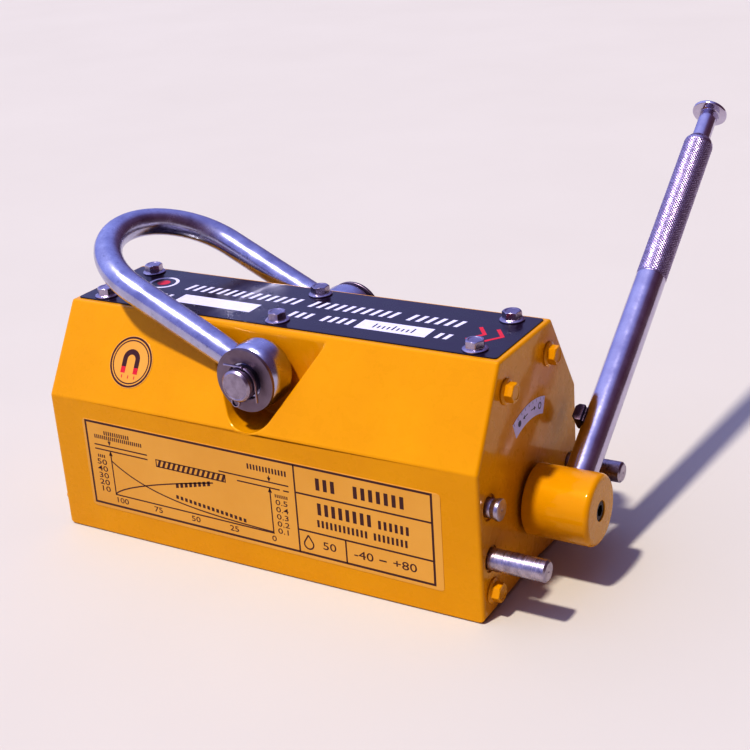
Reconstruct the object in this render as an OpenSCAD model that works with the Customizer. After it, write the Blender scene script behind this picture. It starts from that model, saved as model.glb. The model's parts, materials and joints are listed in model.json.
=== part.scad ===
// Permanent lifting magnet with a hand-turned magnet rotor.
// X runs along the body with the handle at +X, Z is up, and the origin is in the middle of
// the load face, between the two pole shoes.

/* [Body] */
// Length over both end covers
body_l = 380; // [374:1:388]
// Width across the two poles
body_w = 168; // [168:1:172]
// Height of the top face
body_h = 182; // [182:1:184]
// Height of the upright sides, where the slopes begin
side_h = 115; // [114:1:117]
// Width of the top face between the slopes
top_w = 88; // [88:1:90]
// Thickness of each end cover
cover_t = 12; // [12:0.5:13]
// Width of the shallow groove between the pole shoes
groove_w = 66; // [60:1:72]
// Depth of that groove
groove_d = 3; // [1:0.5:3.5]

/* [Rotor] */
// Height of the rotor axis above the load face
rotor_axis_h = 58.2; // [58:0.1:58.4]
// Radius of the rotor
rotor_r = 44; // [43:0.5:44]
// Thickness of the magnets inside the rotor
rotor_magnet_t = 26; // [20:1:26]

/* [Handle] */
// Rest angle of the handle above the horizontal
handle_angle = 34.6; // [20:0.1:60]
// Diameter of the handle tube
handle_d = 24; // [23.6:0.1:24]
// Distance from the rotor axis to the end of the handle tube
handle_end = 347; // [342:1:350]
// Diameter of the push button at the end of the handle
button_d = 29; // [26:1:30]

/* [Shackle] */
// Diameter of the shackle's round bar
bar_d = 22; // [20:0.5:22]
// Radius of the bow, to the middle of the bar
bow_r = 61.5; // [61.5:0.1:61.8]
// Length of each leg, from the pin to the start of the bow
leg_l = 118; // [112:1:122]
// Rest angle of the shackle from upright, towards the rear
shackle_tilt = 64; // [40:1:64]

/* [Hidden] */
$fn = 64;
running_gap = 0.05;
static_gap = 0.05;

core_x = body_l / 2 - cover_t;
slope_run = (body_w - top_w) / 2;
function half_width(z) = body_w / 2 - (z - side_h) * slope_run / (body_h - side_h);

web_w = 28;
top_plate_t = 10;
plate_z = body_h - top_plate_t;
air_gap = 0.6;
bore_r = rotor_r + air_gap;
magnet_z = [106, 138];
stator_blocks = 6;
rotor_blocks = 5;
block_gap = 0.5;
corner_r = 5;

// recess around each shackle eye
pin_h = 153;
pocket_floor = 46;
pocket_r = 22.5;
pocket_low = 114.1;
pocket_flank = 32.5;

// fasteners: [across flats, head height, flange radius, flange height, shank radius, shank length]
top_bolt = [13, 7.5, 9.4, 2, 4, 17.5];
cover_bolt = [13, 8, 9.5, 2, 4, 32];
top_bolt_x = [-165, 0, 165];
top_bolt_y = 30;
cover_bolts = [[-36, 157.5], [36, 157.5], [-69, 19], [69, 19]];
dowels = [[-70, 96], [70, 96]];
dowel_r = 4;
plate_t = 1;
nameplate_x = 186;
nameplate_y = 40;

// pins on the front cover: [y, z, radius, tip x]
near_stop = [-69, 44.3, 8, 233.4];
far_stop = [69, 54, 8, 234];
lock_at = [-68.6, 84.2];
lock_tip = 199.6;
pin_root = 168;
pin_recess_r = 9.5;
pin_recess_d = 1.5;

// rotor
rotor_end = 165;
cap_t = 8.7;
cap_face = rotor_end + cap_t;
magnet_half = 34;
shaft_r = 15;
rear_shaft_r = 12;
cap_screws = [[28, 12], [28, -12], [-28, 12], [-28, -12]];
bush_flange = 4;
front_bush_r = 19;
rear_bush_r = 16;
seal_t = 3;

// hub
hub_r = 26.75;
hub_x = [193, 243.8];
hub_edge = 4;
hub_wall = [228.2, 235];
hub_hole_r = 7.5;
hub_key = [26, 7, 8];

// handle, by distance from the rotor axis
handle_x = 220;
handle_r = handle_d / 2;
tube_r = 8.5;
handle_root = 17;
tube_bottom = 44;
grip = [206, 346];
grip_r = 12.25;
slot = [47, 81];
guide = [100, 106];
seat = [246, 250];
flange = [329, 334.2];
bush_low = 334.5;
collar_end = handle_end + 5;
stem_r = 7.6;
rod_r = 4;
rod_low = 64;
button_z = [381, 386];
key_z = [66, 80];
key_x = [-19.8, -12.3];
key_half = 7;
neck_half = 4.5;

// return spring
spring_turns = 10;
spring_steps = 14;
spring_sides = 6;
spring_r = 6.1;
wire_r = 0.8;

// shackle
bar_r = bar_d / 2;
eye_r = 25.5;
eye_t = 27;
eye_edge = 8;
pin_r = 12.2;
pin_half = 90;
washer_r = 24.7;
washer_hole = 14;
washer_t = 2.8;
washer_y = bow_r + eye_t / 2 + 0.2;
cotter_y = 83;
cotter_r = 2;
cotter_turn = 20;

// labels
label_t = 0.3;
dial_r = [62, 75];
dial_half = 21.5;
chart_x = 161;
chart_z = [19, 100];
badge_x = -117;
badge_h = 146;
badge_r = 21;

// ---- helpers: straight runs along each axis, and the frames of the moving bodies

module along_x(x0, x1) translate([x0, 0, 0]) rotate([90, 0, 90]) linear_extrude(x1 - x0) children();
module rod_x(r, x0, x1, y, z) translate([x0, y, z]) rotate([0, 90, 0]) cylinder(r = r, h = x1 - x0);
module rod_y(r, y0, y1, x, z) translate([x, y0, z]) rotate([-90, 0, 0]) cylinder(r = r, h = y1 - y0);
module rod_z(r, z0, z1) translate([0, 0, z0]) cylinder(r = r, h = z1 - z0);
module ring_z(r_in, r_out, z0, z1) difference() {
    rod_z(r_out, z0, z1);
    rod_z(r_in, z0 - 1, z1 + 1);
}
module ring_x(r_in, r_out, x0, x1, z) difference() {
    rod_x(r_out, x0, x1, 0, z);
    rod_x(r_in, x0 - 1, x1 + 1, 0, z);
}
module both_ends() {
    children();
    mirror([1, 0, 0]) children();
}
module both_sides() {
    children();
    mirror([0, 1, 0]) children();
}
// the rotor's own frame: Y runs along the handle
module on_rotor() translate([0, 0, rotor_axis_h]) rotate([handle_angle, 0, 0]) children();
// the handle's own frame: Z is the distance from the rotor axis
module on_handle() on_rotor() translate([handle_x, 0, 0]) rotate([-90, 0, 0]) children();
// the shackle's own frame: Z runs along its legs
module on_shackle() translate([0, 0, pin_h]) rotate([0, -shackle_tilt, 0]) children();

// seated on z = 0, with the head above and the shank below
module flange_bolt(size) {
    rod_z(size[2], 0, size[3]);
    cylinder(r = size[0] / sqrt(3), h = size[1], $fn = 6);
    rod_z(size[4], -size[5], 1);
}

// ---- body

module body_outline() polygon([
    [-body_w / 2, 0], [-groove_w / 2, 0], [0, groove_d], [groove_w / 2, 0], [body_w / 2, 0],
    [body_w / 2, side_h], [top_w / 2, body_h], [-top_w / 2, body_h], [-body_w / 2, side_h]]);

module pocket_outline() {
    centre_z = pocket_low + pocket_r;
    tangent_x = pocket_r * cos(pocket_flank);
    tangent_z = centre_z - pocket_r * sin(pocket_flank);
    open_z = body_h + 5;
    open_x = tangent_x + (open_z - tangent_z) * tan(pocket_flank);
    translate([0, centre_z]) circle(pocket_r);
    polygon([[-tangent_x, tangent_z], [tangent_x, tangent_z], [open_x, open_z], [-open_x, open_z]]);
}
module near_pocket() translate([0, -pocket_floor, 0]) rotate([90, 0, 0])
    linear_extrude(body_w) pocket_outline();

module shackle_pin_hole() rod_y(pin_r + static_gap, -body_w, body_w, 0, pin_h);
module top_bolt_holes() for (x = top_bolt_x, side = [-1, 1])
    translate([x, side * top_bolt_y, body_h + plate_t])
        rod_z(top_bolt[4] + static_gap, -top_bolt[5] - 0.5, 5);
module cover_bolt_holes() for (p = cover_bolts)
    rod_x(cover_bolt[4] + static_gap, body_l / 2 - cover_bolt[5] - 0.5, body_l / 2 + 5, p[0], p[1]);
module dowel_holes() for (p = dowels)
    rod_x(dowel_r + static_gap, core_x - 10.2, core_x + 8.2, p[0], p[1]);
module stop_hole(pin) rod_x(pin[2] + static_gap, pin_root - 0.2, body_l / 2 + 5, pin[0], pin[1]);
module lock_hole() rod_x(near_stop[2] - 0.75 + static_gap, pin_root - 0.2, body_l / 2 + 5,
    lock_at[0], lock_at[1]);

module pole() difference() {
    along_x(-core_x, core_x) difference() {
        intersection() {
            body_outline();
            translate([-body_w / 2, 0]) square([(body_w - web_w) / 2, plate_z]);
        }
        translate([0, rotor_axis_h]) circle(bore_r);
    }
    near_pocket();
    shackle_pin_hole();
    top_bolt_holes();
    both_ends() cover_bolt_holes();
    both_ends() dowel_holes();
}
module near_pole() color("goldenrod") difference() {
    pole();
    stop_hole(near_stop);
    lock_hole();
}
module far_pole() color("goldenrod") difference() {
    mirror([0, 1, 0]) pole();
    stop_hole(far_stop);
}
module top_cover() color("orange") difference() {
    along_x(-core_x, core_x) polygon([
        [-half_width(plate_z), plate_z], [half_width(plate_z), plate_z],
        [top_w / 2, body_h], [-top_w / 2, body_h]]);
    both_sides() near_pocket();
    top_bolt_holes();
}
module lower_separator() color("darkgoldenrod") along_x(-core_x, core_x) difference() {
    intersection() {
        body_outline();
        translate([-web_w / 2, 0]) square([web_w, rotor_axis_h / 2]);
    }
    translate([0, rotor_axis_h]) circle(bore_r);
}
module upper_separator() color("darkgoldenrod") along_x(-core_x, core_x) difference() {
    translate([-web_w / 2, rotor_axis_h + rotor_r / 2])
        square([web_w, magnet_z[0] - rotor_axis_h - rotor_r / 2]);
    translate([0, rotor_axis_h]) circle(bore_r);
}
module stator_magnets() color("dimgray") {
    pitch = 2 * core_x / stator_blocks;
    for (i = [0 : stator_blocks - 1])
        translate([-core_x + i * pitch + block_gap / 2, static_gap - web_w / 2, magnet_z[0]])
            cube([pitch - block_gap, web_w - 2 * static_gap, magnet_z[1] - magnet_z[0]]);
}
module top_bar() color("silver") difference() {
    translate([-core_x, -web_w / 2, magnet_z[1]]) cube([2 * core_x, web_w, plate_z - magnet_z[1]]);
    shackle_pin_hole();
}

module corner_cut() translate([body_l / 2 - corner_r, -body_w, 0]) difference() {
    translate([0, 0, -1]) cube([corner_r + 1, 2 * body_w, corner_r + 1]);
    translate([0, -1, corner_r]) rotate([-90, 0, 0]) cylinder(r = corner_r, h = 2 * body_w + 2);
}
module cover_blank() difference() {
    along_x(core_x, body_l / 2) body_outline();
    corner_cut();
    cover_bolt_holes();
    dowel_holes();
}
module pin_recess(at) rod_x(pin_recess_r, body_l / 2 - pin_recess_d, body_l / 2 + 1, at[0], at[1]);
module front_cover() color("orange") difference() {
    cover_blank();
    rod_x(front_bush_r + static_gap, core_x - 1, body_l / 2 + 1, 0, rotor_axis_h);
    stop_hole(near_stop);
    stop_hole(far_stop);
    lock_hole();
    pin_recess(near_stop);
    pin_recess(far_stop);
    pin_recess(lock_at);
}
module rear_cover() color("orange") difference() {
    mirror([1, 0, 0]) cover_blank();
    rod_x(rear_bush_r + static_gap, seal_t - body_l / 2, 1 - core_x, 0, rotor_axis_h);
}

module end_bolts() for (p = cover_bolts)
    translate([body_l / 2, p[0], p[1]]) rotate([0, 90, 0]) flange_bolt(cover_bolt);
module front_cover_bolts() color("orange") end_bolts();
module rear_cover_bolts() color("orange") mirror([1, 0, 0]) end_bolts();
module cover_dowels() color("silver") both_ends() for (p = dowels)
    rod_x(dowel_r, core_x - 10, core_x + 8, p[0], p[1]);
module top_bolts() color("lightsteelblue") for (x = top_bolt_x, side = [-1, 1])
    translate([x, side * top_bolt_y, body_h + plate_t]) flange_bolt(top_bolt);
module nameplate() color("black") difference() {
    translate([-nameplate_x, -nameplate_y, body_h]) cube([2 * nameplate_x, 2 * nameplate_y, plate_t]);
    top_bolt_holes();
}

// ---- bearings and seal

module flanged_bush(r_in, r_out, outer_x) {
    ring_x(r_in, r_out, core_x, outer_x, rotor_axis_h);
    ring_x(r_in, r_out + 5, core_x - bush_flange, core_x, rotor_axis_h);
}
module front_bush() color("peru")
    flanged_bush(shaft_r + running_gap, front_bush_r, body_l / 2 - seal_t);
module rear_bush() color("peru") mirror([1, 0, 0])
    flanged_bush(rear_shaft_r + running_gap, rear_bush_r, body_l / 2 - seal_t);
module front_seal() color("dimgray")
    ring_x(shaft_r + 0.35, front_bush_r, body_l / 2 - seal_t, body_l / 2, rotor_axis_h);

// ---- pins on the front cover

module stop_pin(pin) {
    chamfer = 1.5;
    rod_x(pin[2], pin_root, pin[3] - chamfer, pin[0], pin[1]);
    translate([pin[3] - chamfer, pin[0], pin[1]]) rotate([0, 90, 0])
        cylinder(r1 = pin[2], r2 = pin[2] - chamfer, h = chamfer);
}
module near_stop_pin() color("silver") stop_pin(near_stop);
module far_stop_pin() color("silver") stop_pin(far_stop);
module lock_pin() color("silver") {
    base_r = near_stop[2] - 0.75;
    waist_r = 6.7;
    head_x = 196.5;
    rod_x(base_r, pin_root, body_l / 2, lock_at[0], lock_at[1]);
    translate([body_l / 2, lock_at[0], lock_at[1]]) rotate([0, 90, 0]) {
        cylinder(r1 = base_r, r2 = waist_r, h = 3);
        translate([0, 0, 3]) cylinder(r1 = waist_r, r2 = near_stop[2], h = head_x - body_l / 2 - 3);
        rod_z(near_stop[2], head_x - body_l / 2, lock_tip - body_l / 2);
    }
}

// ---- labels

module dial_label() color("white") intersection() {
    ring_x(dial_r[0], dial_r[1], body_l / 2, body_l / 2 + label_t, rotor_axis_h);
    along_x(body_l / 2, body_l / 2 + label_t) translate([0, rotor_axis_h]) polygon([
        [0, 0], [body_l * sin(dial_half), body_l * cos(dial_half)],
        [-body_l * sin(dial_half), body_l * cos(dial_half)]]);
}
module chart_label() color("khaki")
    translate([-chart_x, -body_w / 2 - label_t, chart_z[0]])
        cube([2 * chart_x, label_t, chart_z[1] - chart_z[0]]);
module round_label() color("gold")
    translate([badge_x, -half_width(badge_h), badge_h])
        rotate([90 - atan(slope_run / (body_h - side_h)), 0, 0]) rod_z(badge_r, 0, label_t);

// ---- shackle pin and what is on it

module shackle_pin() color("lightsteelblue") difference() {
    chamfer = 1.5;
    union() {
        rod_y(pin_r, chamfer - pin_half, pin_half - chamfer, 0, pin_h);
        both_sides() translate([0, pin_half - chamfer, pin_h]) rotate([-90, 0, 0])
            cylinder(r1 = pin_r, r2 = pin_r - chamfer, h = chamfer);
    }
    both_sides() translate([0, cotter_y, pin_h]) rotate([0, cotter_turn, 0])
        rod_z(cotter_r + 0.3, -pin_r - 1, pin_r + 1);
}
module shackle_washers() color("slategray") both_sides() difference() {
    rod_y(washer_r, washer_y, washer_y + washer_t, 0, pin_h);
    rod_y(washer_hole, washer_y - 1, washer_y + washer_t + 1, 0, pin_h);
}
// Both legs come out on top: one is bent to the rear, and the other is wrapped round the pin
// and then runs straight down.
module cotter_outline() {
    wire = 1.8;
    wrap_r = pin_r + 1.2;
    loop_r = 3.2;
    bend_r = (pin_r + wire / 2 + 0.1) / cos(cotter_turn);
    translate([-cotter_r + 0.4, -wrap_r]) square([2 * cotter_r - 0.8, wrap_r + bend_r]);
    translate([0, -wrap_r - loop_r]) difference() {
        circle(loop_r + wire / 2);
        circle(loop_r - wire / 2);
    }
    translate([0, bend_r]) rotate(cotter_turn) translate([-17, -wire / 2]) square([17, wire]);
    intersection() {
        difference() {
            circle(wrap_r + wire / 2);
            circle(wrap_r - wire / 2);
        }
        polygon([[0, 0], [0, 40], [40, 40], [40, 40 * tan(cotter_turn)]]);
    }
    rotate(cotter_turn) translate([wrap_r - wire / 2 + 0.1, -13]) square([wire - 0.2, 14]);
}
module cotter_pins() color("silver") both_sides() translate([0, cotter_y, pin_h])
    rotate([0, cotter_turn, 0]) rotate([90, 0, 0])
        linear_extrude(2.4, center = true) cotter_outline();

// ---- rotor

module rotor_segment() along_x(-rotor_end, rotor_end) intersection() {
    circle(rotor_r);
    translate([rotor_magnet_t / 2, -rotor_r]) square([rotor_r, 2 * rotor_r]);
}
module cap_screw_holes(r) for (p = cap_screws) rod_x(r, rotor_end - 16, cap_face + 1, p[0], p[1]);
module rotor_pole_a() color("gray") on_rotor() difference() {
    rotor_segment();
    both_ends() cap_screw_holes(3 + static_gap);
}
module rotor_pole_b() color("gray") on_rotor() difference() {
    mirror([0, 1, 0]) rotor_segment();
    both_ends() cap_screw_holes(3 + static_gap);
}
module rotor_magnets() color("dimgray") on_rotor() {
    pitch = 2 * rotor_end / rotor_blocks;
    thick = rotor_magnet_t - 2 * static_gap;
    for (i = [0 : rotor_blocks - 1])
        translate([-rotor_end + i * pitch + block_gap / 2, -thick / 2, -magnet_half])
            cube([pitch - block_gap, thick, 2 * magnet_half]);
}
module rotor_keepers() color("silver") on_rotor()
    for (turn = [0, 180]) rotate([turn, 0, 0])
        along_x(-rotor_end, rotor_end) intersection() {
            circle(rotor_r);
            translate([-rotor_magnet_t / 2 + static_gap, magnet_half])
                square([rotor_magnet_t - 2 * static_gap, rotor_r]);
        }
module rotor_cap(hole_r) difference() {
    rod_x(rotor_r - 0.5, rotor_end, cap_face, 0, 0);
    rod_x(hole_r + static_gap, rotor_end - 1, cap_face + 1, 0, 0);
    cap_screw_holes(3 + static_gap);
    for (p = cap_screws) rod_x(5.3, cap_face - 6.3, cap_face + 1, p[0], p[1]);
}
module front_rotor_cap() color("silver") on_rotor() rotor_cap(shaft_r);
module rear_rotor_cap() color("silver") on_rotor() mirror([1, 0, 0]) rotor_cap(rear_shaft_r);
module rotor_cap_screws() color("dimgray") on_rotor() both_ends() for (p = cap_screws) {
    rod_x(3, rotor_end - 15, cap_face - 1, p[0], p[1]);
    rod_x(5, cap_face - 6.3, cap_face - 0.3, p[0], p[1]);
}
module hub_key_space(gap) translate([hub_x[0] + 5 - gap, -shaft_r - 3 - gap, -hub_key[2] / 2 - gap])
    cube([hub_key[0] + 2 * gap, hub_key[1] + 2 * gap, hub_key[2] + 2 * gap]);
module drive_shaft() color("silver") on_rotor() difference() {
    rod_x(shaft_r, rotor_end, hub_wall[0] - 0.2, 0, 0);
    hub_key_space(static_gap);
    rod_x(4 + static_gap, hub_wall[0] - 16, hub_wall[0] + 1, 0, 0);
}
module rear_shaft() color("silver") on_rotor()
    rod_x(rear_shaft_r, 3.5 - body_l / 2, -rotor_end, 0, 0);

// ---- hub

module hub_blank() rotate([0, 90, 0]) rotate_extrude() {
    square([hub_r - hub_edge, hub_x[1] - hub_x[0]]);
    square([hub_r, hub_x[1] - hub_x[0] - hub_edge]);
    translate([hub_r - hub_edge, hub_x[1] - hub_x[0] - hub_edge]) circle(hub_edge);
}
module hub() color("orange") on_rotor() difference() {
    translate([hub_x[0], 0, 0]) hub_blank();
    rod_x(shaft_r + static_gap, hub_x[0] - 1, hub_wall[0], 0, 0);
    rod_x(4.5, hub_x[0], hub_x[1], 0, 0);
    rod_x(hub_hole_r, hub_wall[1], hub_x[1] + 1, 0, 0);
    hub_key_space(static_gap);
    translate([handle_x, handle_root - 0.2, 0]) rotate([-90, 0, 0])
        cylinder(r = handle_r + static_gap, h = hub_r);
    rod_x(3 + static_gap, hub_x[0] - 1, handle_x, 21, 0);
}
module hub_key() color("gray") on_rotor() hub_key_space(0);
module hub_screw() color("dimgray") on_rotor() difference() {
    union() {
        rod_x(4, hub_wall[0] - 15, hub_wall[1], 0, 0);
        rod_x(6.5, hub_wall[1], hub_x[1] - 0.8, 0, 0);
    }
    translate([hub_x[1] - 5, 0, 0]) rotate([0, 90, 0]) cylinder(r = 3.5, h = 6, $fn = 6);
}

// ---- handle

module handle_tube() color("lightsteelblue") on_handle() difference() {
    union() {
        rod_z(handle_r, handle_root, handle_end);
        rod_z(grip_r, grip[0], grip[1]);
    }
    rod_z(tube_r, tube_bottom, handle_end + 1);
    translate([-handle_r - 1, -neck_half - 0.5, slot[0]])
        cube([handle_r + 1, 2 * neck_half + 1, slot[1] - slot[0]]);
}
module handle_grub_screw() color("dimgray") on_rotor()
    rod_x(3, hub_x[0] + 1, handle_x - handle_r - 0.2, 21, 0);
module handle_collar() color("lightsteelblue") on_handle() difference() {
    union() {
        rod_z(tube_r - static_gap, bush_low, handle_end + 1);
        translate([0, 0, handle_end]) cylinder(r1 = handle_r, r2 = handle_r - 2.5, h = 5);
    }
    rod_z(stem_r + running_gap, bush_low - 1, collar_end + 1);
}
module rod_guide() color("peru") on_handle()
    ring_z(rod_r + running_gap, tube_r - static_gap, guide[0], guide[1]);
module spring_seat() color("peru") on_handle()
    ring_z(rod_r + running_gap, tube_r - static_gap, seat[0], seat[1]);

// ---- push button, rod and lock key

module button_head() color("lightsteelblue") on_handle() rotate_extrude() intersection() {
    dome_r = 60;
    translate([0, button_z[0]]) square([button_d / 2, button_z[1] - button_z[0]]);
    translate([0, button_z[1] - dome_r]) circle(dome_r, $fn = 360);
}
module button_stem() color("lightsteelblue") on_handle() {
    rod_z(stem_r, flange[0], button_z[0]);
    rod_z(tube_r - 0.35, flange[0], flange[1]);
}
module push_rod() color("silver") on_handle() difference() {
    rod_z(rod_r, rod_low, flange[0]);
    rod_x(2 + static_gap, -handle_r, handle_r, 0, (key_z[0] + key_z[1]) / 2);
}
module lock_key() color("darkslategray") on_handle() difference() {
    chamfer = 2.5;
    union() {
        translate([0, key_half, 0]) rotate([90, 0, 0]) linear_extrude(2 * key_half) polygon([
            [key_x[1], key_z[0]], [key_x[0] + chamfer, key_z[0]], [key_x[0], key_z[0] + chamfer],
            [key_x[0], key_z[1] - chamfer], [key_x[0] + chamfer, key_z[1]], [key_x[1], key_z[1]]]);
        translate([key_x[1] - 1, -neck_half, key_z[0] + 1])
            cube([7 - key_x[1], 2 * neck_half, key_z[1] - key_z[0] - 2]);
    }
    rod_z(rod_r + 0.03, key_z[0] - 1, key_z[1] + 1);
    rod_x(2 + static_gap, -30, 4, 0, (key_z[0] + key_z[1]) / 2);
    rod_x(3.7, -30, key_x[0] + 3.2, 0, (key_z[0] + key_z[1]) / 2);
}
module key_screw() color("dimgray") on_handle() {
    rod_x(2, key_x[0] + 1, 3.9, 0, (key_z[0] + key_z[1]) / 2);
    rod_x(3.6, key_x[0] + 0.4, key_x[0] + 3.2, 0, (key_z[0] + key_z[1]) / 2);
}

// a helix of wire, swept ring by ring
module button_spring() {
    rings = spring_turns * spring_steps;
    low = seat[1] + wire_r + 0.2;
    rise = (flange[0] - wire_r - 0.2 - low) / rings;
    function ring_point(i, j) =
        let (turn = 360 * i / spring_steps, around = 360 * j / spring_sides,
             r = spring_r + wire_r * cos(around))
        [r * cos(turn), r * sin(turn), low + rise * i + wire_r * sin(around)];
    points = [for (i = [0 : rings], j = [0 : spring_sides - 1]) ring_point(i, j)];
    sides = [for (i = [0 : rings - 1], j = [0 : spring_sides - 1])
        let (a = i * spring_sides + j, b = i * spring_sides + (j + 1) % spring_sides)
        [a, b, b + spring_sides, a + spring_sides]];
    first_cap = [for (j = [spring_sides - 1 : -1 : 0]) j];
    last_cap = [for (j = [0 : spring_sides - 1]) rings * spring_sides + j];
    color("silver") on_handle() polyhedron(points, concat(sides, [first_cap, last_cap]));
}

// ---- shackle

module eye() rotate([90, 0, 0]) rotate_extrude() {
    flat = eye_t / 2 - eye_edge;
    translate([0, -eye_t / 2]) square([eye_r - eye_edge, eye_t]);
    translate([0, -flat]) square([eye_r, 2 * flat]);
    for (end = [-1, 1]) translate([eye_r - eye_edge, end * flat]) circle(eye_edge);
}
module shackle() color("lightsteelblue") on_shackle() difference() {
    union() {
        for (side = [-1, 1]) translate([0, side * bow_r, 0]) {
            rod_z(bar_r, 0, leg_l);
            eye();
        }
        translate([0, 0, leg_l]) rotate([90, 0, 90])
            rotate_extrude(angle = 180) translate([bow_r, 0]) circle(bar_r);
    }
    rod_y(pin_r + running_gap, -body_w, body_w, 0, 0);
}

near_pole();
far_pole();
top_cover();
lower_separator();
upper_separator();
stator_magnets();
top_bar();
front_cover();
rear_cover();
front_cover_bolts();
rear_cover_bolts();
cover_dowels();
top_bolts();
nameplate();
front_bush();
rear_bush();
front_seal();
lock_pin();
near_stop_pin();
far_stop_pin();
dial_label();
chart_label();
round_label();
shackle_pin();
shackle_washers();
cotter_pins();
rotor_pole_a();
rotor_pole_b();
rotor_magnets();
rotor_keepers();
front_rotor_cap();
rear_rotor_cap();
rotor_cap_screws();
drive_shaft();
rear_shaft();
hub();
hub_key();
hub_screw();
handle_tube();
handle_grub_screw();
handle_collar();
rod_guide();
spring_seat();
button_head();
button_stem();
push_rod();
lock_key();
key_screw();
button_spring();
shackle();
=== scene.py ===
import json
import math

import bmesh
import bpy
from mathutils import Matrix, Vector

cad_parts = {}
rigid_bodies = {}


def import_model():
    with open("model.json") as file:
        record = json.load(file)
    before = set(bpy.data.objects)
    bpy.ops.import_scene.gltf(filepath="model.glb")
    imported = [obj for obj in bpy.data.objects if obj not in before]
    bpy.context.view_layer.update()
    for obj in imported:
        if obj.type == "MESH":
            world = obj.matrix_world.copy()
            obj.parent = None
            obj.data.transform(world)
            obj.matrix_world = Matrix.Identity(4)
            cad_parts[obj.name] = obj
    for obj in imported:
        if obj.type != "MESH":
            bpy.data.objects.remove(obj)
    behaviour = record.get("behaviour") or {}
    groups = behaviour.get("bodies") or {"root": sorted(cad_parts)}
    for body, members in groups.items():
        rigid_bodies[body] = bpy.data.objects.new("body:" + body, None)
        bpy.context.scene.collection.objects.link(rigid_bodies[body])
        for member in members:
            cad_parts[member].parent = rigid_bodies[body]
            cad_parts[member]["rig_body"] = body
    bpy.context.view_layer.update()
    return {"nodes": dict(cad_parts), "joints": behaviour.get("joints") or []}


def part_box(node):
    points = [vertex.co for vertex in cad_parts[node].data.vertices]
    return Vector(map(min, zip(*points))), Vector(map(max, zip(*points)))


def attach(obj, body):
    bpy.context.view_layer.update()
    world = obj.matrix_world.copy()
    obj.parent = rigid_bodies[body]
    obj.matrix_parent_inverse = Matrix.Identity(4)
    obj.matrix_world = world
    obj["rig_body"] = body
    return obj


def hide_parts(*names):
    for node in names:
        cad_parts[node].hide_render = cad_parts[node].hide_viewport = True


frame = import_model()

# Lengths are in millimetres up to add(), which makes metres of them.
MM = 0.001
STILL = Matrix.Identity(4)


def low(node):
    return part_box(node)[0] / MM


def high(node):
    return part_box(node)[1] / MM


# ---- driving places, from the frame

JOINT = {joint["name"]: joint for joint in frame["joints"]}
TURN_AT = Vector(JOINT["rotor_turn"]["pos_m"]) / MM
PIN_AT = Vector(JOINT["shackle_swing"]["pos_m"]) / MM
PUSH = Vector(JOINT["button_push"]["axis"])
HANDLE_ANGLE = math.atan2(-PUSH.z, -PUSH.y)
SHACKLE_TILT = math.radians(64)

BODY_X = high("front_cover").x
CORE_X = high("near_pole").x
BODY_Y = high("far_pole").y
BODY_Z = high("top_cover").z
PLATE_Z = low("top_cover").z
WEB_Y = low("far_pole").y
AXIS_Z = TURN_AT.z

ON_ROTOR = Matrix.Translation((0, 0, AXIS_Z)) @ Matrix.Rotation(HANDLE_ANGLE, 4, "X")
ON_HANDLE = ON_ROTOR @ Matrix.Translation((TURN_AT.x, 0, 0)) @ Matrix.Rotation(-math.pi / 2, 4, "X")
ON_SHACKLE = Matrix.Translation(PIN_AT) @ Matrix.Rotation(-SHACKLE_TILT, 4, "Y")


def facing(axis, at, back=False):
    """A place whose Z runs along +axis, or along -axis."""
    turn = {"X": ("Y", 90), "Y": ("X", -90), "Z": ("X", 0)}[axis]
    angle = turn[1] if not back else turn[1] + 180
    return Matrix.Translation(at) @ Matrix.Rotation(math.radians(angle), 4, turn[0])


# local X and Y of a flat outline become Y and Z, and its height becomes X
UPRIGHT = Matrix(((0, 0, 1, 0), (1, 0, 0, 0), (0, 1, 0, 0), (0, 0, 0, 1)))
ON_AXIS = facing("X", (0, 0, AXIS_Z))

# ---- the body's section
SIDE_Z = 115.0
TOP_Y = 44.0
GROOVE_Y = 33.0
GROOVE_D = 3.0
CREASE_R = 5.0
TOP_R = 2.7
FOOT_R = 1.0
BORE_R = 44.6
COVER_EDGE_R = 2.5
COVER_FOOT_R = 5.0
GAP = 0.05

# ---- the recess round each shackle eye
POCKET_FLOOR = 46.0
POCKET_R = 22.5
POCKET_LOW = 114.1
POCKET_FLANK = math.radians(32.5)
POCKET_FILLET = 1.8
POCKET_RIM = 1.3

# ---- bolts: across flats, head height, flange radius, flange height, shank radius, shank length
TOP_BOLT = (13, 7.5, 9.4, 2, 4, 17.5)
COVER_BOLT = (13, 8, 9.5, 2, 4, 32)
TOP_BOLTS = [(x, y) for x in (-165, 0, 165) for y in (-30, 30)]
COVER_BOLTS = [(-36, 157.5), (36, 157.5), (-69, 19), (69, 19)]
DOWELS = [(-70, 96), (70, 96)]
DOWEL_R = 4.0

# ---- pins on the front cover: y, z, radius, tip
NEAR_STOP = (-69, 44.3, 8, high("near_stop_pin").x)
FAR_STOP = (69, 54, 8, high("far_stop_pin").x)
LOCK_PIN = (-68.6, 84.2, 7.25, high("lock_pin").x)
PIN_ROOT = 168.0
RECESS_R = 9.5
RECESS_D = 1.5
REAR_BUSH_R = 16.0
SIDES = (-1, 1)
COVER_PINS = (NEAR_STOP, FAR_STOP, LOCK_PIN)


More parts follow.
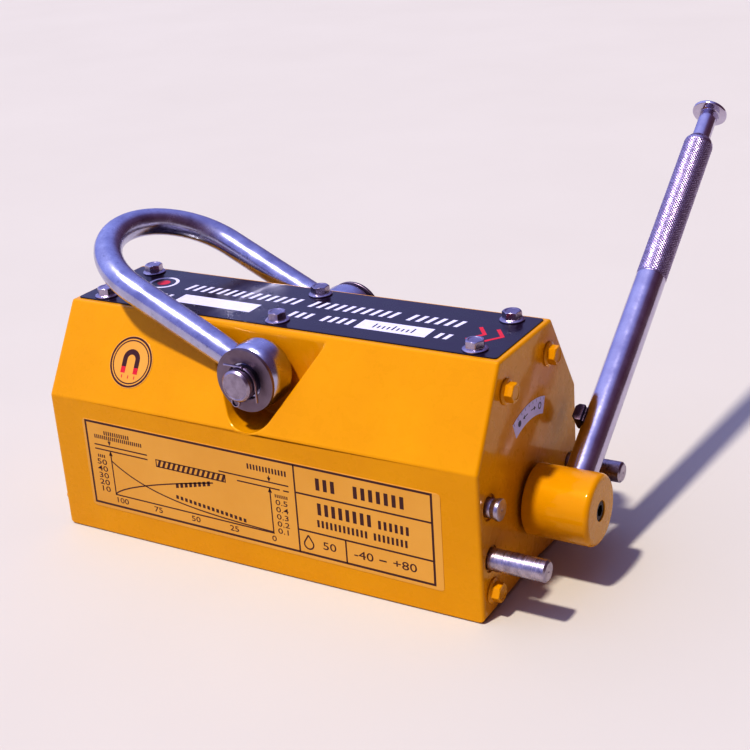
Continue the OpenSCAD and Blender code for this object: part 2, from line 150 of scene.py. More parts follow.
def fillet(corners, radii, steps=6, closed=True):
    """Rounds the corners of a flat outline. A radius of 0 keeps the corner."""
    points = []
    count = len(corners)
    for i, corner in enumerate(corners):
        radius = radii[i] if isinstance(radii, (list, tuple)) else radii
        here = Vector(corner)
        if radius <= 0 or (not closed and i in (0, count - 1)):
            points.append(here)
            continue
        back = (Vector(corners[i - 1]) - here).normalized()
        ahead = (Vector(corners[(i + 1) % count]) - here).normalized()
        half = math.acos(max(-1.0, min(1.0, back.dot(ahead)))) / 2
        centre = here + (back + ahead).normalized() * (radius / math.sin(half))
        start = here + back * (radius / math.tan(half)) - centre
        stop = here + ahead * (radius / math.tan(half)) - centre
        first = math.atan2(start.y, start.x)
        sweep = math.atan2(stop.y, stop.x) - first
        sweep = (sweep + math.pi) % (2 * math.pi) - math.pi
        for k in range(steps + 1):
            angle = first + sweep * k / steps
            points.append(centre + radius * Vector((math.cos(angle), math.sin(angle))))
    return points


def drawn_in(corners, insets):
    """Moves each side of a closed outline inward; side i runs from corner i to corner i + 1."""
    count = len(corners)
    inward = []
    for i in range(count):
        side = Vector(corners[(i + 1) % count]) - Vector(corners[i])
        inward.append(Vector((-side.y, side.x)).normalized())
    moved = []
    for i in range(count):
        a, b = inward[i - 1], inward[i]
        da, db = insets[i - 1], insets[i]
        scale = a.x * b.y - a.y * b.x
        shift = Vector((da * b.y - db * a.y, a.x * db - b.x * da)) / scale
        moved.append(Vector(corners[i]) + shift)
    return moved


def arc(radius, start, stop, steps, centre=(0, 0)):
    """Points along a flat arc, with angles in degrees."""
    points = []
    for k in range(steps + 1):
        angle = math.radians(start + (stop - start) * k / steps)
        points.append((centre[0] + radius * math.cos(angle), centre[1] + radius * math.sin(angle)))
    return points


def oblong(x, y):
    """The corners of a rectangle from x[0] to x[1] and from y[0] to y[1]."""
    return [(x[0], y[0]), (x[1], y[0]), (x[1], y[1]), (x[0], y[1])]


def ring(radii, heights, steps, spin=0.0):
    """Points round the Z axis, with one radius and height for all or one for each."""
    if not isinstance(radii, list):
        radii = [radii] * steps
    if not isinstance(heights, list):
        heights = [heights] * steps
    turns = [2 * math.pi * j / steps + spin for j in range(steps)]
    return [(r * math.cos(t), r * math.sin(t), h) for r, h, t in zip(radii, heights, turns)]


def hexagon(half, steps):
    """The radius of a hexagon round its middle, from half its width across the flats."""
    turns = [2 * math.pi * j / steps for j in range(steps)]
    return [half / math.cos(t % (math.pi / 3) - math.pi / 6) for t in turns]


class Shape:
    """Closed surfaces gathered in millimetres, to be made into one piece."""

    def __init__(self):
        self.points = []
        self.faces = []

    def loft(self, rings, place=STILL, closed=False):
        """Skins a row of rings of equally many points, with a lid on each end unless closed."""
        start = len(self.points)
        count = len(rings[0])
        rows = len(rings)
        for row in rings:
            self.points += [place @ Vector(p) for p in row]
        for i in range(rows if closed else rows - 1):
            a = start + i * count
            b = start + (i + 1) % rows * count
            for j in range(count):
                k = (j + 1) % count
                self.faces.append((a + j, a + k, b + k, b + j))
        if not closed:
            last = start + (rows - 1) * count
            self.faces.append(tuple(start + j for j in reversed(range(count))))
            self.faces.append(tuple(last + j for j in range(count)))
        return self

    def lathe(self, profile, place=STILL, steps=64, closed=False):
        """Turns (radius, height) points about the place's Z axis."""
        return self.loft([ring(r, h, steps) for r, h in profile], place, closed)

    def rod(self, radius, start, stop, place=STILL, steps=48):
        return self.lathe([(radius, start), (radius, stop)], place, steps)

    def prism(self, outline, start, stop, place=STILL):
        return self.loft([[(*p, start) for p in outline], [(*p, stop) for p in outline]], place)

    def block(self, start, stop):
        x, y, z = zip(start, stop)
        return self.prism(oblong(x, y), *z)

    def sweep(self, path, section, place=STILL, closed=False):
        """Runs a section of (across, up) points along a flat path in the place's XY plane."""
        rings = []
        path = [Vector(p) for p in path]
        path = [p for i, p in enumerate(path) if not i or (p - path[i - 1]).length > 0.02]
        count = len(path)
        for i, here in enumerate(path):
            legs = []
            if i or closed:
                legs.append((here - path[i - 1]).normalized())
            if i + 1 < count or closed:
                legs.append((path[(i + 1) % count] - here).normalized())
            along = sum(legs, Vector((0, 0))).normalized()
            widen = 1 / max(0.4, along.dot(legs[0]))
            side = Vector((-along.y, along.x)) * widen
            rings.append([(*(here + side * across), up) for across, up in section])
        return self.loft(rings, place, closed)


BLANK = bpy.data.materials.new("blank")


def solid(name, shape):
    mesh = bpy.data.meshes.new(name)
    mesh.from_pydata([p * MM for p in shape.points], [], shape.faces)
    obj = bpy.data.objects.new(name, mesh)
    bpy.context.scene.collection.objects.link(obj)
    made = bmesh.new()
    made.from_mesh(mesh)
    bmesh.ops.recalc_face_normals(made, faces=made.faces)
    made.to_mesh(mesh)
    made.free()
    return obj


def evaluated_mesh(obj):
    graph = bpy.context.evaluated_depsgraph_get()
    return bpy.data.meshes.new_from_object(obj.evaluated_get(graph))


def round_edges(made, edges, width, steps, clamp=False):
    bmesh.ops.bevel(
        made, geom=edges, offset=width * MM, offset_type="OFFSET", segments=steps, profile=0.5,
        affect="EDGES", clamp_overlap=clamp, loop_slide=not clamp,
    )


def carve(obj, shape, operation="DIFFERENCE", rim=0.0, rim_steps=3):
    """Cuts, joins or keeps the common part with a shape, and rounds the new rims."""
    cutter = solid("cutter", shape)
    for number, part in enumerate((obj, cutter)):
        while len(part.data.materials) < 2:
            part.data.materials.append(BLANK)
        part.data.polygons.foreach_set("material_index", [number] * len(part.data.polygons))
    change = obj.modifiers.new("carve", "BOOLEAN")
    change.operation = operation
    change.solver = "EXACT"
    change.material_mode = "INDEX"
    change.object = cutter
    carved = evaluated_mesh(obj)
    obj.modifiers.clear()
    obj.data = carved
    bpy.data.objects.remove(cutter)
    made = bmesh.new()
    made.from_mesh(carved)
    bmesh.ops.remove_doubles(made, verts=made.verts, dist=1e-7)
    if rim:
        edges = [e for e in made.edges if sum(f.material_index for f in e.link_faces) == 1]
        round_edges(made, [e for e in edges if len(e.link_faces) == 2], rim, rim_steps)
    for face in made.faces:
        face.material_index = 0
    made.to_mesh(carved)
    made.free()
    return obj


def soften(obj, width, angle, steps):
    """Rounds the edges that are sharper than angle."""
    made = bmesh.new()
    made.from_mesh(obj.data)
    edges = [e for e in made.edges if len(e.link_faces) == 2 and e.calc_face_angle() > math.radians(angle)]
    round_edges(made, edges, width, steps, clamp=True)
    made.to_mesh(obj.data)
    made.free()


def add(node, look, material, name=None, angle=32):
    """Adds the piece that a CAD node is shown as or, with a name, one more piece on its body."""
    obj = solid(node, look) if isinstance(look, Shape) else look
    obj.name = obj.data.name = name or node + "_look"
    obj.data.materials.clear()
    obj.data.materials.append(material)
    obj.data.shade_smooth()
    obj.data.set_sharp_from_angle(angle=math.radians(angle))
    weigh = obj.modifiers.new("flat faces stay flat", "WEIGHTED_NORMAL")
    weigh.keep_sharp = True
    weigh.weight = 80
    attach(obj, frame["nodes"][node]["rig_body"])
    if not name:
        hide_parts(node)


# ---- materials


def fill(ramp, stops):
    """Sets a ramp's stops, each a place from 0 to 1 and a colour or a grey."""
    while len(ramp.elements) < len(stops):
        ramp.elements.new(0.5)
    for element, (position, colour) in zip(ramp.elements, stops):
        element.position = position
        element.color = (*colour, 1) if isinstance(colour, tuple) else (colour,) * 3 + (1,)


class Nodes:
    """A node tree, built a node at a time."""

    def __init__(self, owner):
        owner.use_nodes = True
        self.tree = owner.node_tree

    def feed(self, socket, value):
        """Links an output to a socket, or sets the socket's own value."""
        if isinstance(value, bpy.types.NodeSocket):
            self.tree.links.new(value, socket)
        else:
            socket.default_value = value

    def node(self, kind, output, inputs, **settings):
        made = self.tree.nodes.new("ShaderNode" + kind)
        for key, value in settings.items():
            setattr(made, key, value)
        for key, value in inputs.items():
            self.feed(made.inputs[key], value)
        return made.outputs[output]

    def ramp(self, value, stops):
        colour = self.node("ValToRGB", "Color", {"Fac": value})
        fill(colour.node.color_ramp, stops)
        return colour


class Material(Nodes):
    """A material whose patterns run over the object's own coordinates."""

    def __init__(self, name):
        self.material = bpy.data.materials.new(name)
        super().__init__(self.material)
        self.place = self.node("TexCoord", "Object", {})

    def shade(self, **values):
        shader = self.tree.nodes["Principled BSDF"]
        for key, value in values.items():
            self.feed(shader.inputs[key.replace("_", " ")], value)

    def noise(self, scale, detail=3.0, rough=0.55, place=None):
        inputs = {"Scale": scale, "Detail": detail, "Roughness": rough, "Vector": place or self.place}
        return self.node("TexNoise", "Fac", inputs)

    def span(self, value, lowest, highest):
        """Maps 0.3..0.7, where most noise lies, to a range of numbers."""
        inputs = {"Value": value, "From Min": 0.3, "From Max": 0.7, "To Min": lowest, "To Max": highest}
        return self.node("MapRange", "Result", inputs)

    def bump(self, height, strength, distance, before=None):
        inputs = {"Height": height, "Strength": strength, "Distance": distance}
        if before:
            inputs["Normal"] = before
        return self.node("Bump", "Normal", inputs)

    def surface(self, colour, wear, rough, relief, strength, depth, **more):
        """A colour, one pattern for the roughness and one for the relief."""
        normal = self.bump(relief, strength, depth)
        self.shade(Base_Color=colour, Roughness=self.span(wear, *rough), Normal=normal, **more)
        return self.material


def enamel(name, deep, bright):
    """Sprayed gloss enamel: slight cloudiness, orange peel and a clear, hard surface."""
    m = Material(name)
    ripple = m.noise(70, 1, 0.4)
    m.shade(
        Base_Color=m.ramp(m.noise(14, 5, 0.6), [(0.3, deep), (0.7, bright)]),
        Roughness=m.span(m.noise(90), 0.22, 0.36),
        Coat_Weight=0.45,
        Coat_Roughness=0.05,
        Specular_IOR_Level=0.25,
        Specular_Tint=(1.0, 0.45, 0.08, 1.0),
        Normal=m.bump(m.noise(420, 2, 0.5), 0.05, 0.0006, m.bump(ripple, 0.10, 0.002)),
        Coat_Normal=m.bump(ripple, 0.07, 0.002),
    )
    return m.material


def plated(name, dark, light, rough, grain=900.0, depth=0.00012, spots=0.0):
    """Zinc or chrome plate over worked steel: cloudy shine, fine grain, a few dull spots."""
    m = Material(name)
    cloud = m.noise(55, 6, 0.62)
    colour = m.ramp(cloud, [(0.32, dark), (0.68, light)])
    if spots:
        marks = m.ramp(m.noise(230, 4, 0.7), [(0.60, 0.0), (0.72, 1.0)])
        share = m.node("Math", "Value", {0: marks, 1: spots}, operation="MULTIPLY")
        dull = (*[c * 0.45 for c in dark], 1)
        colour = m.node("Mix", "Result", {"Factor": share, "A": colour, "B": dull}, data_type="RGBA")
    rough = (rough * 0.75, rough * 1.35)
    return m.surface(colour, cloud, rough, m.noise(grain, 3, 0.6), 0.35, depth, Metallic=1.0)


def turned(name, dark, light, rough, axis, pitch=0.9):
    """Machined steel: tool marks across the given axis."""
    m = Material(name)
    scale = [30.0, 30.0, 30.0]
    scale["XYZ".index(axis)] = 1000 / pitch
    marks = m.noise(1.0, 4, 0.7, m.node("Mapping", "Vector", {"Vector": m.place, "Scale": scale}))
    colour = m.ramp(m.noise(160, 5, 0.65), [(0.3, dark), (0.7, light)])
    return m.surface(colour, marks, (rough * 0.7, rough * 1.4), marks, 0.25, 0.0002, Metallic=1.0)


def grained(name, dark, light, rough):
    """Plated knurling in a fine random grain: brighter, smoother flecks among darker, rougher ones."""
    m = Material(name)
    grain = m.noise(900, 2, 0.5)
    colour = m.ramp(grain, [(0.40, dark), (0.62, light)])
    return m.surface(colour, grain, (rough * 1.2, rough * 0.85), grain, 0.35, 0.0004, Metallic=1.0)


def matt(name, dark, light, rough, scale=200.0, bump=0.1, coat=0.0, coat_rough=0.1):
    """A printed film, rubber or sintered surface."""
    m = Material(name)
    grain = m.noise(scale, 4, 0.6)
    colour = m.ramp(grain, [(0.3, dark), (0.7, light)])
    m.shade(Coat_Weight=coat, Coat_Roughness=coat_rough)
    return m.surface(colour, grain, (rough * 0.8, rough * 1.2), grain, bump, 0.0002)


PAINT = enamel("body enamel", (0.66, 0.300, 0.001), (0.71, 0.335, 0.0015))
# The blue-lavender in these zinc, bolt, chrome and knurl colours is partly painted reflection: the blue of
# the sky they mirror is put into their base colour, so the sky itself can stay paler.
ZINC = plated("bright zinc", (0.41, 0.40, 0.56), (0.60, 0.60, 0.78), 0.22, spots=0.5)
WASHER = plated("dull zinc", (0.20, 0.15, 0.19), (0.30, 0.24, 0.29), 0.42, depth=0.0002, spots=0.4)
BOLT = plated("bolt zinc", (0.34, 0.29, 0.38), (0.56, 0.50, 0.62), 0.24, spots=0.3)
CHROME = plated("handle chrome", (0.52, 0.47, 0.60), (0.62, 0.58, 0.72), 0.18, 500)
KNURLED = grained("knurled chrome", (0.24, 0.18, 0.29), (0.50, 0.43, 0.60), 0.38)
PIN_STEEL = turned("turned steel", (0.30, 0.26, 0.32), (0.56, 0.50, 0.58), 0.30, "X")
CROSS_PIN = turned("turned pin", (0.30, 0.25, 0.32), (0.46, 0.40, 0.50), 0.30, "Y")
DARK_STEEL = plated("dark steel", (0.085, 0.06, 0.09), (0.15, 0.11, 0.15), 0.30, depth=0.0003)
SCREW = plated("black screw", (0.035, 0.025, 0.03), (0.07, 0.05, 0.06), 0.40)
IRON = turned("pole iron", (0.40, 0.40, 0.42), (0.56, 0.56, 0.58), 0.38, "X", 1.4)
MAGNET = plated("nickelled magnet", (0.42, 0.41, 0.40), (0.55, 0.54, 0.52), 0.30)
BRASS = turned("brass", (0.60, 0.40, 0.14), (0.76, 0.54, 0.22), 0.32, "X", 1.2)
ALUMINIUM = turned("aluminium", (0.62, 0.62, 0.64), (0.76, 0.76, 0.78), 0.30, "X")
RUBBER = matt("seal rubber", (0.010, 0.010, 0.011), (0.022, 0.021, 0.022), 0.6)
PLATE = matt("nameplate", (0.008, 0.003, 0.016), (0.014, 0.006, 0.028), 0.30, 60, 0.03, 0.35, 0.06)
FILM = matt("chart film", (0.66, 0.32, 0.028), (0.73, 0.38, 0.055), 0.34, 9, 0.03, 0.4, 0.12)
WHITE = matt("white film", (0.58, 0.55, 0.80), (0.66, 0.62, 0.88), 0.4, 120, 0.02)
WHITE_INK = matt("white ink", (0.68, 0.66, 0.84), (0.78, 0.76, 0.92), 0.35, 400, 0.05)
DARK_INK = matt("dark ink", (0.050, 0.010, 0.010), (0.075, 0.016, 0.014), 0.4, 400, 0.05)
BLUE_INK = matt("blue black ink", (0.020, 0.016, 0.045), (0.035, 0.028, 0.07), 0.4, 400, 0.05)
RED_INK = matt("red ink", (0.55, 0.012, 0.030), (0.68, 0.022, 0.045), 0.35, 400, 0.05)

# ---- camera and studio

CAMERA_AIM = Vector((103.54, 0, 192.92))
CAMERA_FAR = 1015.8
CAMERA_AZIMUTH = math.radians(30.073)
CAMERA_RISE = math.radians(20.27)
CAMERA_ROLL = math.radians(-3.693)
CAMERA_LENS = 67.135
CAMERA_SHIFT = (-0.0566, -0.0856)

SUN_TOWARDS = Vector((-0.36, -1.0, 2.28))
SKY_TOWARDS = Vector((-0.72, -0.10, 0.68))
SKY_STRENGTH = 0.78
SKY = [
    (0.00, (0.26, 0.20, 0.20)),
    (0.35, (0.14, 0.07, 0.10)),
    (0.58, (0.20, 0.13, 0.22)),
    (0.74, (0.42, 0.44, 0.82)),
    (0.90, (0.52, 0.58, 1.05)),
    (1.00, (0.72, 0.78, 1.25)),
]
FLOOR = [(0.3, (0.575, 0.545, 0.495)), (0.7, (0.59, 0.56, 0.51))]
FLOOR_R = 9000.0


def camera():
    data = bpy.data.cameras.new("camera")
    data.sensor_width = 36
    data.lens = CAMERA_LENS
    data.shift_x, data.shift_y = CAMERA_SHIFT
    data.clip_start = 0.01
    data.clip_end = 100
    obj = bpy.data.objects.new("camera", data)
    bpy.context.scene.collection.objects.link(obj)
    flat = math.cos(CAMERA_RISE)
    back = Vector((math.sin(CAMERA_AZIMUTH) * flat, -math.cos(CAMERA_AZIMUTH) * flat, math.sin(CAMERA_RISE)))
    obj.location = (CAMERA_AIM + back * CAMERA_FAR) * MM
    level = (-back).to_track_quat("-Z", "Y").to_matrix()
    obj.rotation_euler = (level @ Matrix.Rotation(CAMERA_ROLL, 3, "Z")).to_euler()
    bpy.context.scene.camera = obj


def studio():
    sun = bpy.data.lights.new("sun", "SUN")
    sun.energy = 2.6
    sun.angle = math.radians(4)
    sun.color = (1.0, 0.94, 0.82)
    obj = bpy.data.objects.new("sun", sun)
    obj.rotation_euler = SUN_TOWARDS.to_track_quat("Z", "Y").to_euler()
    bpy.context.scene.collection.objects.link(obj)
    world = bpy.data.worlds.new("studio")
    bpy.context.scene.world = world
    sky = Nodes(world)
    ways = {0: sky.node("TexCoord", "Generated", {}), 1: SKY_TOWARDS.normalized()}
    towards = sky.node("VectorMath", "Value", ways, operation="DOT_PRODUCT")
    share = sky.node("MapRange", "Result", {"Value": towards, "From Min": -1})
    light = sky.tree.nodes["Background"]
    sky.feed(light.inputs["Color"], sky.ramp(share, SKY))
    sky.feed(light.inputs["Strength"], SKY_STRENGTH)

    ground = solid("floor", Shape().rod(FLOOR_R, -1, -0.5, steps=96))
    m = Material("pale floor")
    m.shade(Base_Color=m.ramp(m.noise(3), FLOOR), Roughness=0.85, Specular_IOR_Level=0.2)
    ground.data.materials.append(m.material)
    bpy.context.scene.view_settings.view_transform = "Standard"
    bpy.context.scene.view_settings.look = "High Contrast"


camera()
studio()

# ---- painted body

SECTION = [
    (-BODY_Y, 0), (-GROOVE_Y, 0), (0, GROOVE_D), (GROOVE_Y, 0), (BODY_Y, 0),
    (BODY_Y, SIDE_Z), (TOP_Y, BODY_Z), (-TOP_Y, BODY_Z), (-BODY_Y, SIDE_Z),
]
SECTION_R = [FOOT_R, 0, 0, 0, FOOT_R, CREASE_R, TOP_R, TOP_R, CREASE_R]


def section(x, inset=0.0, lift=0.0):
    """The body's section at x, with its sides drawn in and its foot lifted."""
    corners = drawn_in(SECTION, [lift] * 4 + [inset] * 5)
    radii = [max(r - inset, 0.2) if r else 0 for r in SECTION_R]
    return [(x, *p) for p in fillet(corners, radii)]


def pocket_outline(inset=0.0):
    radius = POCKET_R - inset
    centre = POCKET_LOW + POCKET_R
    flank = math.degrees(POCKET_FLANK)
    points = arc(radius, 180 + flank, 360 - flank, 28, (0, centre))
    x, z = points[-1]
    open_z = BODY_Z + 5
    open_x = x + (open_z - z) * math.tan(POCKET_FLANK)
    return points + [(open_x, open_z), (-open_x, open_z)]


def pockets():
    shape = Shape()
    for side in (-1, 1):
        rings = []
        for k in range(5):
            turn = math.radians(90 * k / 4)
            inset = POCKET_FILLET * (1 - math.sin(turn))
            y = side * (POCKET_FLOOR + POCKET_FILLET * (1 - math.cos(turn)))
            rings.append([(x, y, z) for x, z in pocket_outline(inset)])
        rings.append([(x, side * (BODY_Y + 10), z) for x, z in pocket_outline()])
        shape.loft(rings)
    return shape



def copy_of(obj, name):
    other = obj.copy()
    other.data = obj.data.copy()
    other.name = name
    bpy.context.scene.collection.objects.link(other)
    return other


def cover_holes(shape, end, side=0):
    """Holes for an end cover's bolts and dowels, on one side of the body or on both."""
    groups = [(COVER_BOLTS, COVER_BOLT[4], BODY_X - COVER_BOLT[5] - 0.5, BODY_X + 5)]
    groups.append((DOWELS, DOWEL_R, CORE_X - 10.2, CORE_X + 8.2))
    for places, radius, start, stop in groups:
        for y, z in places:
            if y * side >= 0:
                shape.rod(radius + GAP, *sorted((end * start, end * stop)), facing("X", (0, y, z)))
    return shape


def pin_holes(shape, side=0):
    for y, z, radius, _ in COVER_PINS:
        if y * side >= 0:
            shape.rod(radius + GAP, PIN_ROOT - 0.2, BODY_X + 5, facing("X", (0, y, z)))
    return shape


def top_bolt_holes(start, stop, side=0):
    shape = Shape()
    for x, y in TOP_BOLTS:
        if y * side >= 0:
            shape.rod(TOP_BOLT[4] + GAP, start, stop, facing("Z", (x, y, 0)))
    return shape


def pole_holes(side):
    shape = top_bolt_holes(BODY_Z + 1 - TOP_BOLT[5] - 0.5, BODY_Z + 9, side)
    pin_r = high("shackle_pin").x + GAP
    shape.rod(pin_r, *sorted((side * (WEB_Y - 5), side * (BODY_Y + 5))), facing("Y", (0, 0, PIN_AT.z)))
    for end in (-1, 1):
        cover_holes(shape, end, side)
    return pin_holes(shape, side)


def painted_body():
    core = solid("core", Shape().loft([section(-CORE_X), section(CORE_X)]))
    carve(core, pockets(), rim=POCKET_RIM)
    reach = Vector((CORE_X + 1, BODY_Y + 1, BODY_Z + 1))
    for side, node in ((-1, "near_pole"), (1, "far_pole")):
        pole = copy_of(core, node + "_part")
        half = sorted((side * WEB_Y, side * reach.y))
        carve(pole, Shape().block((-reach.x, half[0], -1), (reach.x, half[1], PLATE_Z)), "INTERSECT")
        carve(pole, Shape().rod(BORE_R, -reach.x, reach.x, ON_AXIS, 128))
        carve(pole, pole_holes(side))
        add(node, pole, PAINT)
        pole.data.materials.append(IRON)
        for face in pole.data.polygons:
            if face.center.z < 0.01 * MM and face.normal.z < -0.9:
                face.material_index = 1
    top = copy_of(core, "top_part")
    bpy.data.objects.remove(core)
    carve(top, Shape().block((-reach.x, -reach.y, PLATE_Z), reach), "INTERSECT")
    carve(top, top_bolt_holes(PLATE_Z - 2, BODY_Z + 2))
    add("top_cover", top, PAINT)


def cover_blank(end):
    rings = [section(end * CORE_X), section(end * (BODY_X - COVER_FOOT_R))]
    steps = 8
    for k in range(1, steps + 1):
        turn = math.pi / 2 * k / steps
        x = BODY_X - COVER_FOOT_R * (1 - math.sin(turn))
        lift = COVER_FOOT_R * (1 - math.cos(turn))
        past = max(0.0, x - (BODY_X - COVER_EDGE_R))
        inset = COVER_EDGE_R - math.sqrt(max(0.0, COVER_EDGE_R**2 - past**2))
        rings.append(section(end * x, inset, lift))
    return solid("cover", Shape().loft(rings))


def covers():
    front = cover_blank(1)
    recess = Shape()
    for y, z, _, _ in COVER_PINS:
        recess.rod(RECESS_R, BODY_X - RECESS_D, BODY_X + 3, facing("X", (0, y, z)))
    recess.rod(high("front_seal").y + GAP, CORE_X - 2, BODY_X + 3, ON_AXIS)
    carve(front, recess, rim=0.5)
    carve(front, pin_holes(cover_holes(Shape(), 1)))
    add("front_cover", front, PAINT)
    rear = cover_blank(-1)
    carve(rear, cover_holes(Shape(), -1).rod(REAR_BUSH_R + GAP, 3 - BODY_X, 2 - CORE_X, ON_AXIS))
    add("rear_cover", rear, PAINT)


painted_body()
covers()

# ---- bolts


def flange_bolt(shape, size, place, spin=0.0):
    """A hexagon flange bolt seated on the place's XY plane, as one closed skin."""
    flats, head, flange_r, flange_h, shank_r, shank = size
    steps = 72
    corner_r = flats / math.sqrt(3)
    crown_r = flats / 2 * 0.96
    slope = math.tan(math.radians(30))
    rounded = [min(r, corner_r * 0.985) for r in hexagon(flats / 2, steps)]
    shoulder = [head - (r - crown_r) * slope for r in rounded]
    rings = [
        (shank_r - 0.8, -shank), (shank_r, 0.8 - shank), (shank_r, 0), (flange_r - 0.4, 0),
        (flange_r - 0.1, 0.15), (flange_r, 0.5), (flange_r, flange_h * 0.42),
        (flange_r - 0.15, flange_h * 0.55), (flange_r - 0.45, flange_h * 0.64),
        (corner_r + 0.35, flange_h * 0.93), ([r + 0.15 for r in rounded], flange_h + 0.1),
        (rounded, flange_h + 0.5), (rounded, [h - 0.25 for h in shoulder]),
        ([r - 0.12 for r in rounded], shoulder), (crown_r, head - 0.03), (crown_r - 0.35, head),
        (crown_r * 0.80, head), (crown_r * 0.72, head - 0.35), (crown_r * 0.20, head - 0.45),
    ]
    return shape.loft([ring(r, h, steps, spin) for r, h in rings], place)


def bolts():
    top = Shape()
    for i, (x, y) in enumerate(TOP_BOLTS):
        flange_bolt(top, TOP_BOLT, facing("Z", (x, y, BODY_Z + 1)), 0.35 + 0.41 * i)
    add("top_bolts", top, BOLT, angle=28)
    for node, end in (("front_cover_bolts", 1), ("rear_cover_bolts", -1)):
        shape = Shape()
        for i, (y, z) in enumerate(COVER_BOLTS):
            flange_bolt(shape, COVER_BOLT, facing("X", (end * BODY_X, y, z), end < 0), 0.52 + 0.08 * i)
        add(node, shape, PAINT, angle=28)


bolts()

# ---- pins on the front cover


def cover_pins():
    chamfer = 1.5
    for node, (y, z, radius, tip) in (("near_stop_pin", NEAR_STOP), ("far_stop_pin", FAR_STOP)):
        profile = [(radius, PIN_ROOT), (radius, tip - chamfer), (radius - 0.25, tip - chamfer + 0.2)]
        profile += [(radius - chamfer + 0.2, tip - 0.25), (radius - chamfer, tip - 0.05)]
        profile += [(radius - chamfer - 0.5, tip), (1.1, tip), (0.3, tip - 0.8)]
        add(node, Shape().lathe(profile, facing("X", (0, y, z))), PIN_STEEL)
    y, z, root_r, tip = LOCK_PIN
    waist_r = 6.7
    head_r = NEAR_STOP[2]
    profile = [(root_r, PIN_ROOT), (root_r, BODY_X)]
    profile += [(waist_r + 0.25, BODY_X + 2.6), (waist_r, BODY_X + 3.1), (waist_r + 0.3, BODY_X + 3.6)]
    profile += [(head_r - 0.2, BODY_X + 6.3), (head_r, BODY_X + 6.7), (head_r, tip - 0.8)]
    profile += [(head_r - 0.3, tip - 0.3), (head_r - 0.9, tip), (1.1, tip), (0.3, tip - 0.7)]
    add("lock_pin", Shape().lathe(profile, facing("X", (0, y, z))), PIN_STEEL)


cover_pins()

# ---- shackle, its pin, washers and cotters

BAR_R = 11.0
EYE_R = 25.5
EYE_T = 27.0
EYE_EDGE = 8.0
BOW_R = high("shackle").y - EYE_T / 2
LEG = 118.0
PIN_R = high("shackle_pin").x
PIN_END = high("shackle_pin").y
WASHER_R = high("shackle_washers").x
WASHER_HOLE = 14.0
WASHER_Y = high("shackle").y + 0.2
WASHER_T = 2.8
COTTER_Y = 83.0
COTTER_TURN = math.radians(20)
COTTER_HOLE_R = 2.3


def shackle():
    path = [(-BOW_R, 0), (-BOW_R, LEG * 0.5)] + arc(BOW_R, 180, 0, 72, (0, LEG))
    path += [(BOW_R, LEG * 0.5), (BOW_R, 0)]
    upright = ON_SHACKLE @ Matrix.Rotation(math.pi / 2, 4, "Z") @ Matrix.Rotation(math.pi / 2, 4, "X")
    steps = 56
    bar = arc(BAR_R, 0, 360 - 360 / steps, steps - 1)
    obj = solid("shackle_part", Shape().sweep(path, bar, upright))
    flat = EYE_T / 2 - EYE_EDGE
    edge = [(EYE_R - EYE_EDGE + r, flat + h) for r, h in arc(EYE_EDGE, 0, 90, 10)]
    profile = [(r, -h) for r, h in reversed(edge)] + edge
    eyes = Shape()
    for side in SIDES:
        eyes.lathe(profile, ON_SHACKLE @ facing("Y", (0, side * BOW_R, 0)), 112)
    carve(obj, eyes, "UNION")
    carve(obj, Shape().rod(PIN_R + GAP, -BODY_Y, BODY_Y, ON_SHACKLE @ facing("Y", (0, 0, 0)), 64))
    add("shackle", obj, ZINC, angle=40)


def cotter_places():
    turn = Matrix.Rotation(COTTER_TURN, 4, "Y")
    return [Matrix.Translation((0, side * COTTER_Y, PIN_AT.z)) @ turn for side in SIDES]


def shackle_pin():
    chamfer = 1.5
    dish = 0.25
    profile = [(PIN_R, PIN_END - chamfer - 0.2), (PIN_R - 0.15, PIN_END - chamfer)]
    profile += [(PIN_R - chamfer + 0.2, PIN_END - 0.15), (PIN_R - chamfer - 0.2, PIN_END)]
    profile += [(PIN_R - 2.4, PIN_END), (PIN_R - 2.7, PIN_END - dish), (0.5, PIN_END - dish)]
    profile = [(r, -h) for r, h in reversed(profile)] + profile
    obj = solid("pin_part", Shape().lathe(profile, facing("Y", (0, 0, PIN_AT.z)), 80))
    holes = Shape()
    for place in cotter_places():
        holes.rod(COTTER_HOLE_R, -PIN_R - 1, PIN_R + 1, place, 32)
    carve(obj, holes, rim=0.2, rim_steps=1)
    add("shackle_pin", obj, CROSS_PIN)


def washers():
    shape = Shape()
    profile = [(WASHER_HOLE, 0.2), (WASHER_HOLE, WASHER_T - 0.5), (WASHER_HOLE + 0.5, WASHER_T)]
    profile += [(WASHER_R - 0.7, WASHER_T), (WASHER_R - 0.2, WASHER_T - 0.2), (WASHER_R, WASHER_T - 0.7)]
    profile += [(WASHER_R, 0.2), (WASHER_R - 0.2, 0), (WASHER_HOLE + 0.2, 0)]
    for side in SIDES:
        place = facing("Y", (0, side * WASHER_Y, PIN_AT.z), side < 0)
        shape.lathe(profile, place, 96, closed=True)
    add("shackle_washers", shape, WASHER)


